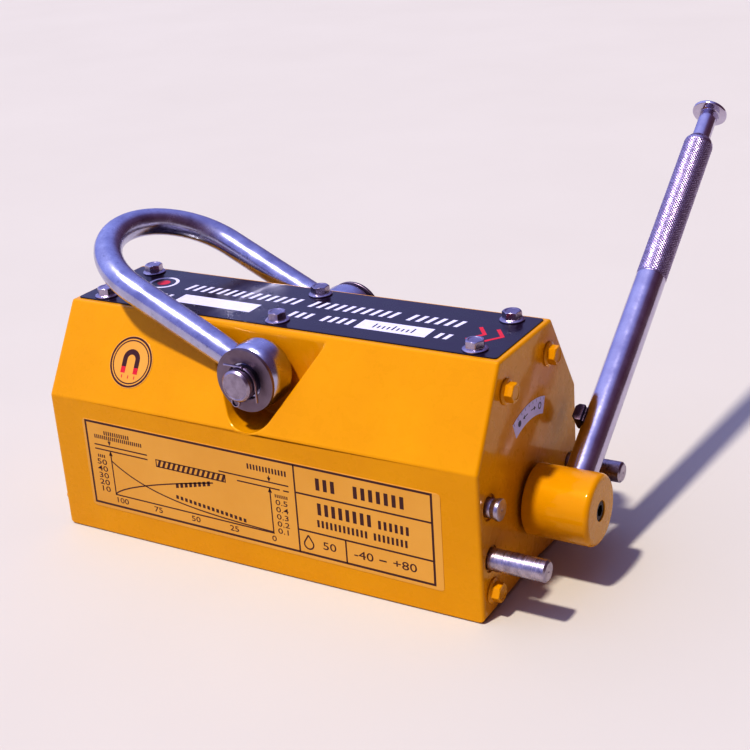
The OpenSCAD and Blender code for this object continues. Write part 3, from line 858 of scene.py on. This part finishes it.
def cotters():
    """A split pin in one wire: the bent leg, the shank, the eye, the shank and the wrapped leg."""
    thick = 1.3
    wide = 2.4
    reach = PIN_R + 1.1
    loop_r = 3.2
    split = thick / 2 + 0.05
    turn = math.degrees(COTTER_TURN)
    away = Vector((-math.cos(COTTER_TURN), -math.sin(COTTER_TURN)))
    top = Vector((-split, (PIN_R + thick / 2 + 0.2) / math.cos(COTTER_TURN)))
    path = fillet([top + away * 17, top, (-split, -reach)], 1.6, 6, closed=False)
    lean = math.degrees(math.asin(split / loop_r))
    path += arc(loop_r, 90 + lean, 450 - lean, 40, (0, -reach - loop_r))
    path += [(split, -reach * 0.5), (split, reach - 2.2)]
    path += arc(reach, math.degrees(math.atan2(reach, split)), turn + 4, 30)
    down = Vector((math.sin(COTTER_TURN), -math.cos(COTTER_TURN)))
    path += [-away * (reach + 0.1) + down * d for d in (2, 6, 12.8)]
    half = [(thick / 2, wide / 2 - 0.5), (thick / 2 - 0.35, wide / 2)]
    wire = half + [(-x, y) for x, y in reversed(half)]
    wire += [(-x, -y) for x, y in half] + [(x, -y) for x, y in reversed(half)]
    shape = Shape()
    for place in cotter_places():
        shape.sweep(path, wire, place @ Matrix.Rotation(math.pi / 2, 4, "X"))
    add("cotter_pins", shape, CROSS_PIN, angle=50)


shackle()
shackle_pin()
washers()
cotters()

# ---- hub

HUB_LOW = low("hub").x
HUB_HIGH = high("hub").x
HUB_R = 26.75
HUB_EDGE = 4.0
SHAFT_R = 15.0
HUB_WALL = (228.2, 235.0)
HUB_HOLE_R = 7.5
HUB_BORE_R = 4.5
HANDLE_R = 12.0
HANDLE_ROOT = 17.0


def hub():
    profile = [(SHAFT_R + GAP, HUB_LOW), (HUB_R - 0.8, HUB_LOW), (HUB_R, HUB_LOW + 0.8)]
    profile += [(HUB_R - HUB_EDGE + r, HUB_HIGH - HUB_EDGE + h) for r, h in arc(HUB_EDGE, 0, 90, 8)]
    profile += [(HUB_HOLE_R + 0.7, HUB_HIGH), (HUB_HOLE_R + 0.2, HUB_HIGH - 0.2)]
    profile += [(HUB_HOLE_R, HUB_HIGH - 0.7), (HUB_HOLE_R, HUB_WALL[1])]
    profile += [(HUB_BORE_R, HUB_WALL[1]), (HUB_BORE_R, HUB_WALL[0]), (SHAFT_R + GAP, HUB_WALL[0])]
    obj = solid("hub_part", Shape().lathe(profile, ON_ROTOR @ facing("X", (0, 0, 0)), 96, closed=True))
    carve(obj, Shape().rod(HANDLE_R + GAP, HANDLE_ROOT - 0.2, HUB_R + 5, ON_HANDLE, 64), rim=0.5)
    add("hub", obj, PAINT)


def hub_screw():
    steps = 48
    tip = HUB_HIGH - 0.8
    seat = HUB_WALL[1] + 0.05
    head_r = 7.3
    socket = hexagon(4.3 * math.cos(math.pi / 6), steps)
    rings = [(4, HUB_WALL[0] - 15), (4, seat), (head_r, seat), (head_r, tip - 0.6)]
    rings += [(head_r - 0.2, tip - 0.15), (head_r - 0.7, tip), ([r + 0.3 for r in socket], tip)]
    rings += [(socket, tip - 0.3), (socket, tip - 3.8)]
    screw = Shape().loft([ring(r, x, steps) for r, x in rings], ON_ROTOR @ UPRIGHT)
    add("hub_screw", screw, SCREW)


def shaft_seal():
    inner_x = low("front_seal").x
    outer_x = high("front_seal").x
    outer_r = high("front_seal").y
    profile = [(SHAFT_R + 0.35, inner_x), (outer_r - 0.1, inner_x), (outer_r - 0.1, outer_x - 0.5)]
    profile += [(outer_r - 0.6, outer_x), (SHAFT_R + 1.6, outer_x), (SHAFT_R + 0.6, outer_x - 1.2)]
    profile += [(SHAFT_R + 0.35, outer_x - 1.8)]
    add("front_seal", Shape().lathe(profile, ON_AXIS, 64, closed=True), RUBBER)


hub()
hub_screw()
shaft_seal()

# ---- handle, by distance from the rotor axis

TUBE_R = 8.5
TUBE_BOTTOM = 44.0
HANDLE_END = 347.0
GRIP = (206.0, 346.0)
GRIP_R = 12.25
GRIP_BORDER = 1.2
KNURL_DEPTH = 0.30
KNURL_TEETH = 30
SLOT = (47.0, 81.0)
SLOT_HALF = 5.0
COLLAR_LOW = 334.5
COLLAR_END = 352.0
STEM_R = 7.6
STEM_FLANGE = (329.0, 334.2)
BUTTON = (381.0, 386.0)
BUTTON_R = 14.5
DOME_R = 60.0
KEY_Z = (66.0, 80.0)
KEY_X = (-19.8, -12.3)
KEY_HALF = 7.0
KEY_CHAMFER = 2.5
NECK_HALF = 4.5
ROD_R = 4.0


def handle_tube():
    under = GRIP_R - KNURL_DEPTH - 0.5
    profile = [(HANDLE_R - 0.5, HANDLE_ROOT), (HANDLE_R, HANDLE_ROOT + 0.5), (HANDLE_R, GRIP[0] - 0.2)]
    profile += [(under, GRIP[0] + 0.1), (under, GRIP[1] - 0.1), (HANDLE_R, GRIP[1] + 0.1)]
    profile += [(HANDLE_R, HANDLE_END), (TUBE_R, HANDLE_END), (TUBE_R, TUBE_BOTTOM)]
    obj = solid("tube_part", Shape().lathe(profile, ON_HANDLE, 96))
    outline = fillet(oblong((-SLOT_HALF, SLOT_HALF), SLOT), 0.8)
    slot = Shape().prism(outline, -HANDLE_R - 2, -2, ON_HANDLE @ UPRIGHT)
    carve(obj, slot, rim=0.3, rim_steps=2)
    add("handle_tube", obj, CHROME, angle=30)


def grip():
    """A sleeve of sharp little pyramids, cut by two crossing families of grooves."""
    around = KNURL_TEETH * 2
    pitch = math.pi * GRIP_R / KNURL_TEETH
    rows = int((GRIP[1] - GRIP[0] - 2 * GRIP_BORDER) / pitch)
    bottom = GRIP_R - KNURL_DEPTH
    inner = bottom - 0.6
    crest = GRIP_R - 0.1
    start = (GRIP[0] + GRIP[1] - rows * pitch) / 2
    rings = [(inner, GRIP[0]), (HANDLE_R, GRIP[0]), (crest, GRIP[0] + 0.5)]
    rings.append((crest, GRIP[0] + GRIP_BORDER * 0.8))
    first = len(rings)
    for i in range(rows + 1):
        rings.append(([GRIP_R if (i + j) % 2 else bottom for j in range(around)], start + i * pitch))
    rings += [(crest, GRIP[1] - GRIP_BORDER * 0.8), (crest, GRIP[1] - 0.5)]
    rings += [(HANDLE_R, GRIP[1]), (inner, GRIP[1])]
    shape = Shape()
    shape.points = [ON_HANDLE @ Vector(p) for r, h in rings for p in ring(r, h, around)]
    for i in range(len(rings)):
        a = i * around
        b = (i + 1) % len(rings) * around
        for j in range(around):
            k = (j + 1) % around
            if not first <= i < first + rows:
                shape.faces.append((a + j, a + k, b + k, b + j))
            elif (i - first + j) % 2:
                shape.faces += [(a + j, a + k, b + j), (a + k, b + k, b + j)]
            else:
                shape.faces += [(a + j, a + k, b + k), (a + j, b + k, b + j)]
    add("handle_tube", shape, KNURLED, name="knurled_grip", angle=14)


def collar_and_button():
    outer = TUBE_R - GAP
    profile = [(STEM_R + GAP, COLLAR_LOW), (outer, COLLAR_LOW), (outer, HANDLE_END)]
    profile += [(HANDLE_R - 0.05, HANDLE_END), (HANDLE_R - 0.25, HANDLE_END + 0.9)]
    profile += [(HANDLE_R - 2.2, COLLAR_END - 0.8), (HANDLE_R - 2.8, COLLAR_END - 0.15)]
    profile += [(HANDLE_R - 3.4, COLLAR_END), (STEM_R + 0.35, COLLAR_END), (STEM_R + GAP, COLLAR_END - 0.3)]
    add("handle_collar", Shape().lathe(profile, ON_HANDLE, 96, closed=True), KNURLED)
    low_z, top_z = BUTTON
    dome = [(r, top_z - DOME_R + math.sqrt(DOME_R**2 - r**2)) for r in (12.6, 10, 7.5, 5, 2.5, 0.4)]
    edge_z = dome[0][1]
    head = [(STEM_R - 1, low_z), (BUTTON_R - 0.6, low_z), (BUTTON_R - 0.1, low_z + 0.5)]
    head += [(BUTTON_R, edge_z - 1.9), (BUTTON_R - 0.15, edge_z - 1.1), (BUTTON_R - 0.7, edge_z - 0.45)]
    add("button_head", Shape().lathe(head + dome, ON_HANDLE, 96), CHROME, angle=50)
    flange_r = TUBE_R - 0.35
    stem = [(3, STEM_FLANGE[0]), (flange_r, STEM_FLANGE[0]), (flange_r, STEM_FLANGE[1])]
    stem += [(STEM_R, STEM_FLANGE[1]), (STEM_R, low_z - 1.3), (STEM_R + 0.35, low_z - 0.35)]
    stem += [(STEM_R + 1.2, low_z), (STEM_R - 1, low_z)]
    add("button_stem", Shape().lathe(stem, ON_HANDLE, 72), CHROME)


def lock_key():
    inner, outer = KEY_X[1], KEY_X[0]
    bottom, top = KEY_Z
    outline = [(inner, bottom), (outer + KEY_CHAMFER, bottom), (outer, bottom + KEY_CHAMFER)]
    outline += [(outer, top - KEY_CHAMFER), (outer + KEY_CHAMFER, top), (inner, top)]
    # local X and Y of the outline become X and Z on the handle
    lying = ON_HANDLE @ Matrix.Rotation(math.pi / 2, 4, "X")
    obj = solid("key_part", Shape().prism(outline, -KEY_HALF, KEY_HALF, lying))
    soften(obj, 0.7, 25, 3)
    neck = oblong((inner - 1, 7), (bottom + 1, top - 1))
    carve(obj, Shape().prism(neck, -NECK_HALF, NECK_HALF, lying), "UNION")
    across = ON_HANDLE @ facing("X", (0, 0, (bottom + top) / 2))
    carve(obj, Shape().rod(ROD_R + 0.03, bottom - 1, top + 1, ON_HANDLE, 40))
    carve(obj, Shape().rod(2 + GAP, -30, 4, across, 32))
    carve(obj, Shape().rod(3.7, -30, outer + 3.2, across, 40), rim=0.25, rim_steps=2)
    add("lock_key", obj, DARK_STEEL)
    face = outer + 0.4
    profile = [(2, 3.9), (2, face + 2.8), (3.6, face + 2.8), (3.6, face + 0.4), (3.2, face)]
    profile += [(1.9, face), (1.7, face + 1.4)]
    add("key_screw", Shape().lathe(profile, across, 40), SCREW)
    rod = Shape().lathe([(ROD_R - 0.8, 64), (ROD_R, 64.8), (ROD_R, STEM_FLANGE[0])], ON_HANDLE, 40)
    obj = solid("rod_part", rod)
    carve(obj, Shape().rod(2 + GAP, -HANDLE_R, HANDLE_R, across, 32))
    add("push_rod", obj, PIN_STEEL)


handle_tube()
grip()
collar_and_button()
lock_key()

# ---- nameplate and labels

PRINT = 0.06
FILM_T = 0.3


class Print(Shape):
    """Raised print on a flat place."""

    def __init__(self, place, height=PRINT):
        super().__init__()
        self.place = place
        self.height = height

    def patch(self, corners):
        return self.prism(corners, 0, self.height, self.place)

    def line(self, path, width, closed=False):
        half = width / 2
        return self.sweep(path, oblong((-half, half), (0, self.height)), self.place, closed)

    def arrow(self, tip, size, way):
        """A filled arrow head whose tip points up, or down if way is -1."""
        x, z = tip
        half = way * size * 0.45
        self.patch([(x, z), (x - half, z - way * size), (x + half, z - way * size)])

    def blocks(self, start, stop, z, height, gaps=(), fill=0.5, lean=0.0):
        """A row of plain blocks where the original carries words."""
        count = int((stop - start) / (height * 0.62))
        pitch = (stop - start) / count
        tilt = height * lean
        for i in range(count):
            if i not in gaps:
                x0 = start + i * pitch
                x1 = x0 + pitch * fill
                self.patch([(x0, z), (x1, z), (x1 + tilt, z + height), (x0 + tilt, z + height)])

    def numerals(self, text, size, at, wide=1.35):
        """Numbers in the plain built-in typeface, drawn wide and bold."""
        curve = bpy.data.curves.new("numerals", "FONT")
        curve.body = text
        curve.size = size
        curve.offset = 0.010
        curve.extrude = self.height / 2
        curve.resolution_u = 3
        curve.align_x = "CENTER"
        curve.align_y = "CENTER"
        obj = bpy.data.objects.new("numerals", curve)
        bpy.context.scene.collection.objects.link(obj)
        mesh = evaluated_mesh(obj)
        start = len(self.points)
        shift = Vector((*at, self.height / 2))
        stretch = Matrix.Diagonal((wide, 1, 1))
        self.points += [self.place @ (stretch @ v.co + shift) for v in mesh.vertices]
        self.faces += [tuple(start + i for i in face.vertices) for face in mesh.polygons]
        bpy.data.objects.remove(obj)
        bpy.data.meshes.remove(mesh)


def nameplate():
    x_half = high("nameplate").x
    y_half = high("nameplate").y
    thick = high("nameplate").z - BODY_Z
    rings = []
    for inset, z in ((0, 0), (0, thick - 0.3), (0.1, thick - 0.08), (0.3, thick)):
        x, y = x_half - inset, y_half - inset
        rings.append([(*p, BODY_Z + z) for p in fillet(oblong((-x, x), (-y, y)), 2.5 - inset)])
    obj = solid("plate_part", Shape().loft(rings))
    carve(obj, top_bolt_holes(BODY_Z - 2, BODY_Z + 3))
    add("nameplate", obj, PLATE)
    top = Matrix.Translation((0, 0, BODY_Z + thick))
    emblem = (-140, 11)
    white = Print(top)
    white.blocks(-113, 138, 3.0, 12.5, gaps=(14, 25), fill=0.46, lean=0.2)
    white.blocks(-130, -110, -19, 9, lean=0.12)
    white.blocks(1, 59, -20, 11, gaps=(3,), lean=0.12)
    white.blocks(127, 141, -21, 10, lean=0.12)
    for field in ((-104, -31), (62, 121)):
        white.patch(oblong(field, (-23, -6)))
    white.line(arc(11.5, 0, 345, 46, emblem), 2.8, True)
    add("nameplate", white, WHITE_INK, name="nameplate_white_print")
    red = Print(top)
    red.patch(arc(5.5, 0, 345, 23, emblem))
    for x in (150, 164):
        red.line([(x, 9), (x + 9, -3), (x, -15)], 3.0)
    add("nameplate", red, RED_INK, name="nameplate_red_print")
    dark = Print(top @ Matrix.Translation((0, 0, PRINT)), PRINT / 2)
    for i in range(9):
        x = 75.5 + i * 4
        dark.line([(x, -18.5), (x, -18.5 + (5 if i % 4 else 8))], 1.3)
    add("nameplate", dark, BLUE_INK, name="nameplate_dark_print")


CHART_TILT = math.radians(-0.7)
CHART_MIDDLE = Vector((-1.8, 60.6, 0))
CHART_BORDER = ((-156.6, 153.0), (24.8, 96.4))
CHART_AXES = ((-134.6, 17.0), (35.1, 72.2))
CHART_COLUMN = 39.6
CHART_ROWS = (74.2, 43.8)
CHART_CELL = 80.4
CHART_BAR = ((-89.0, -23.6), (69.2, 75.0))


def chart_film(wall, thick):
    x_half = high("chart_label").x - 0.9
    z_low, z_high = low("chart_label").z, high("chart_label").z
    middle = Vector((0, (z_low + z_high) / 2))
    rings = []
    for inset, height in ((0, 0), (0, thick * 0.6), (0.15, thick)):
        x, z = x_half - inset, (z_high - z_low) / 2 - 2 - inset
        outline = fillet(oblong((-x, x), (-z, z)), 3)
        rings.append([(*(Matrix.Rotation(CHART_TILT, 2) @ p + middle), height) for p in outline])
    add("chart_label", Shape().loft(rings, wall), FILM)


def chart_lines(ink):
    (left, right), (bottom, top) = CHART_BORDER
    (zero_x, end_x), (zero_z, axis_top) = CHART_AXES
    ink.line(oblong((left, right), (bottom, top)), 1.7, True)
    ink.line([(CHART_COLUMN, bottom), (CHART_COLUMN, top)], 1.3)
    for z in CHART_ROWS:
        ink.line([(CHART_COLUMN, z), (right, z)], 1.3)
    ink.line([(CHART_CELL, bottom), (CHART_CELL, CHART_ROWS[1])], 1.2)
    ink.line([(zero_x, axis_top), (zero_x, zero_z), (end_x, zero_z), (end_x, axis_top)], 1.0)
    for x in (zero_x, end_x):
        ink.arrow((x, axis_top + 1), 4, 1)
        ink.line([(x, 83), (x, 80)], 0.7)
        ink.arrow((x, 78), 3.4, -1)
    rules = [(-150, -97.4, 77.1), (-150, -97.4, 73.3), (-28.8, 34, 77.6), (-12.4, 26, 73.0), (29, 34, 73.0)]
    for x0, x1, z in rules:
        ink.line([(x0, z), (x1, z)], 1.0)
    # hatched bar
    (bar_left, bar_right), (low_z, high_z) = CHART_BAR
    ink.line(oblong(*CHART_BAR), 0.8, True)
    hatches = 14
    step = (bar_right - bar_left) / hatches
    for i in range(hatches):
        x = bar_left + step * (i + 0.15)
        ink.patch([(x, low_z), (x + 2.2, low_z), (x + 4.6, high_z), (x + 2.4, high_z)])
    # one curve falls away and one rises nearly straight
    fall = []
    rise = []
    for i in range(41):
        share = i / 40
        fall.append((zero_x + (end_x - zero_x) * share, zero_z + 29.6 * math.exp(-3.5 * share)))
        rise.append((zero_x + 99 * share**1.5, zero_z + 30.8 * share**1.02))
    ink.line(fall, 0.95)
    ink.line(rise, 0.95)


def chart_label():
    thick = -BODY_Y - low("chart_label").y
    wall = Matrix.Translation((0, -BODY_Y, 0)) @ Matrix.Rotation(math.pi / 2, 4, "X")
    chart_film(wall, thick)
    tilt = Matrix.Rotation(CHART_TILT, 4, "Z") @ Matrix.Translation(-CHART_MIDDLE)
    ink = Print(wall @ Matrix.Translation(CHART_MIDDLE + Vector((0, 0, thick))) @ tilt)
    chart_lines(ink)
    for i in range(5):
        z = 37.9 + i * 6.0
        ink.numerals(str(10 * (i + 1)), 6.6, (-144.8, z), 1.6)
        ink.numerals(f"0.{i + 1}", 6.2, (26.6, z), 1.5)
        ink.numerals(str(100 - 25 * i), 6.6, (-129 + i * 36.5, 30.3))
    # plain blocks in place of the words: over the chart, by its axes, along its curves
    ink.blocks(-139, -113, 86.6, 3.4)
    ink.blocks(-149, -101, 82.6, 3.2)
    ink.blocks(-2, 34, 85, 4.4)
    ink.blocks(-148, -140, 66, 2.6)
    ink.blocks(21, 33, 66, 2.6)
    for i in range(8):
        x = -72 + i * 4.4
        z = 54 + i * 1.15
        ink.patch([(x, z), (x + 2.6, z + 0.7), (x + 2.6, z + 4.6), (x, z + 3.9)])
    for i in range(16):
        x = -73 + i * 4.2
        z = 44.8 - i * 0.42
        ink.patch([(x, z), (x + 2.4, z - 0.2), (x + 2.4, z + 2.8), (x, z + 3.0)])
    # rating column: rows of blocks, then a drop and a range
    ink.blocks(58, 134, 79.8, 9.6, gaps=(3, 4))
    ink.blocks(58, 106, 59.5, 9.6)
    ink.blocks(109, 136, 59.5, 6.8)
    ink.blocks(57, 134, 49.4, 5.8, gaps=(12,))
    ink.line([(48, 40.3)] + arc(4, 160, 380, 16, (48, 32.8)) + [(48, 40.3)], 1.1)
    ink.numerals("50", 9.0, (66, 34.3))
    ink.numerals("-40", 9.5, (95, 34.0))
    ink.line([(108, 34), (114, 34)], 1.1)
    ink.numerals("+80", 9.5, (129, 34.0))
    add("chart_label", ink, DARK_INK, name="chart_print")


BADGE_X = -117.0
BADGE_Z = 146.0
BADGE_R = 21.0


def round_label():
    """Two rings round a plain horseshoe magnet."""
    run = BODY_Y - TOP_Y
    rise = BODY_Z - SIDE_Z
    y = -(BODY_Y - (BADGE_Z - SIDE_Z) * run / rise)
    lean = math.atan2(run, rise)
    place = Matrix.Translation((BADGE_X, y, BADGE_Z)) @ Matrix.Rotation(math.pi / 2 - lean, 4, "X")
    profile = [(BADGE_R - 0.4, 0), (BADGE_R - 0.3, FILM_T * 0.6), (BADGE_R - 0.5, FILM_T)]
    add("round_label", Shape().lathe(profile, place, 96), FILM)
    face = place @ Matrix.Translation((0, 0, FILM_T))
    ink = Print(face)
    for radius, width in ((19.2, 1.5), (16.9, 0.9)):
        ink.line(arc(radius, 0, 355, 71), width, True)
    ink.line([(-6, -9), (-6, 2)] + arc(6, 180, 0, 24, (0, 2)) + [(6, 2), (6, -9)], 4.2)
    add("round_label", ink, DARK_INK, name="round_label_print")
    red = Print(face)
    for x in (-6, 0, 6):
        red.line([(x, -10.5), (x, -13)], 0.8)
    # the magnet's red tips lie on its dark print
    red.place = face @ Matrix.Translation((0, 0, PRINT))
    red.height = PRINT / 2
    for x in (-6, 6):
        red.line([(x, -9), (x, -4)], 4.2)
    add("round_label", red, RED_INK, name="round_label_red")


def dial_label():
    inner, outer, half = 62.0, 75.0, 21.5
    middle = (inner + outer) / 2
    corners = arc(outer, 90 + half, 90 - half, 24) + arc(inner, 90 - half, 90 + half, 24)
    place = Matrix.Translation((BODY_X, 0, AXIS_Z)) @ UPRIGHT
    add("dial_label", Shape().prism(corners, 0, FILM_T, place), WHITE)
    ink = Print(place @ Matrix.Translation((0, 0, FILM_T)))

    def spot(angle, radius=middle):
        turn = math.radians(90 + angle)
        return radius * math.cos(turn), radius * math.sin(turn)

    ink.patch(arc(2.4, 0, 345, 23, spot(14)))
    ink.line(arc(2.2, 0, 345, 23, spot(-15)), 1.0, True)
    for side in SIDES:
        ink.line([spot(side * 2.5), spot(side * 7)], 0.7)
        ink.patch([spot(side * 9), spot(side * 6.6, middle + 1.7), spot(side * 6.6, middle - 1.7)])
    for angle in range(-20, 21, 5):
        ink.line([spot(angle, outer - 0.8), spot(angle, outer - 2.6)], 0.45)
    add("dial_label", ink, BLUE_INK, name="dial_print")


nameplate()
chart_label()
round_label()
dial_label()

# ---- inner pieces, which keep their CAD meshes

FINISHES = (
    (BRASS, "lower_separator upper_separator front_bush rear_bush rod_guide spring_seat"),
    (MAGNET, "stator_magnets rotor_magnets"),
    (IRON, "top_bar rotor_pole_a rotor_pole_b"),
    (ALUMINIUM, "rotor_keepers front_rotor_cap rear_rotor_cap"),
    (PIN_STEEL, "cover_dowels drive_shaft rear_shaft button_spring"),
    (DARK_STEEL, "hub_key"),
    (SCREW, "rotor_cap_screws handle_grub_screw"),
)
for material, nodes in FINISHES:
    for node in nodes.split():
        mesh = frame["nodes"][node].data
        mesh.materials.clear()
        mesh.materials.append(material)

bpy.data.materials.remove(BLANK)
